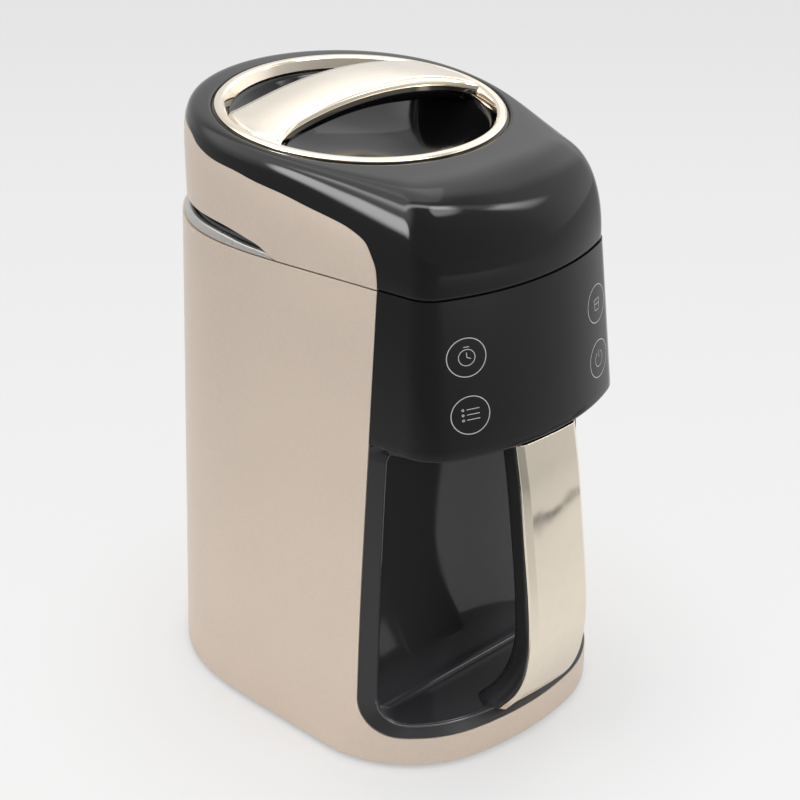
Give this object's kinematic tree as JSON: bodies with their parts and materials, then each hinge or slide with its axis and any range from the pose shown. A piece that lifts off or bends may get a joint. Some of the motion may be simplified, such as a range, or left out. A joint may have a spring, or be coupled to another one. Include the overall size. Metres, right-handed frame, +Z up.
{
  "type": "soy milk maker",
  "caption": "Countertop soy milk maker: D-shaped jug with steel cup, heater, touch panel and strap handle in a well, under a lift-off motor head with a ring and carry bar",
  "frame": {"origin": "on the surface it stands on, under the middle of its bounding box", "axes": "+Z up, the handle and the controls face -Y, +X to the right seen from the front's back (the viewer's right when looking along +Y)"},
  "size_m": [0.1796, 0.246, 0.314],
  "materials": {
    "champagne_paint": "satin metallic paint, champagne",
    "gloss_black": "piano black",
    "plated_gold": "polished pale gold plating",
    "silver_paint": "satin silver-grey",
    "steel": "brushed stainless steel",
    "screw_steel": "zinc plated",
    "aluminium": "cast",
    "black_rubber": "matt",
    "silicone": "translucent white, matt",
    "black_plastic": "fine texture",
    "board": "solder mask green",
    "windings": "iron stack with lacquered copper windings",
    "brass": "bright"
  },
  "bodies": {
    "jug": {"base_cover": "black_plastic", "base_screw_1": "screw_steel", "base_screw_2": "screw_steel", "base_screw_3": "screw_steel", "base_screw_4": "screw_steel", "control_panel": "gloss_black", "coupler_socket": "black_plastic", "cup_gasket": "silicone", "display_module": "black_plastic", "foot_1": "black_rubber", "foot_2": "black_rubber", "foot_3": "black_rubber", "foot_4": "black_rubber", "handle_core": "gloss_black", "handle_strip": "plated_gold", "heater_plate": "aluminium", "heater_relay": "black_plastic", "heating_tube": "steel", "inlet_pin_1": "brass", "inlet_pin_2": "brass", "inlet_pin_3": "brass", "inlet_socket": "black_plastic", "inner_cup": "steel", "jug_rim": "silver_paint", "jug_shell": "champagne_paint", "power_board": "board", "thermal_cutout": "aluminium", "touch_board": "board", "touch_pad_1": "silicone", "touch_pad_2": "silicone", "touch_pad_3": "silicone", "touch_pad_4": "silicone", "transformer": "windings", "well_liner": "gloss_black"},
    "head": {"head_shell": "gloss_black", "head_band": "champagne_paint", "top_ring": "plated_gold", "grip_bowl": "gloss_black", "carry_bar": "plated_gold", "bar_grip": "gloss_black", "head_base": "black_plastic", "head_seal": "silicone", "motor_housing": "steel", "motor_damper": "black_rubber", "lower_bearing": "steel", "motor_stator": "windings", "upper_bracket": "aluminium", "upper_bearing": "steel", "shaft_seal": "black_rubber", "shaft_sleeve": "steel", "sleeve_bush": "brass", "overflow_probe": "steel", "temperature_probe": "steel", "coupler_plug": "black_plastic"},
    "rotor": {"motor_rotor": "windings", "motor_fan": "black_plastic", "drive_shaft": "steel", "blade": "steel", "blade_nut": "steel"}
  },
  "joints": [
    {"name": "head_lift", "type": "slide", "parent": "jug", "child": "head", "axis": [0, 0, 1], "range_m": [0, 0.205]},
    {"name": "motor_spin", "type": "hinge", "parent": "head", "child": "rotor", "pos_m": [0, 0.0238, 0.2], "axis": [0, 0, 1], "continuous": true}
  ]
}
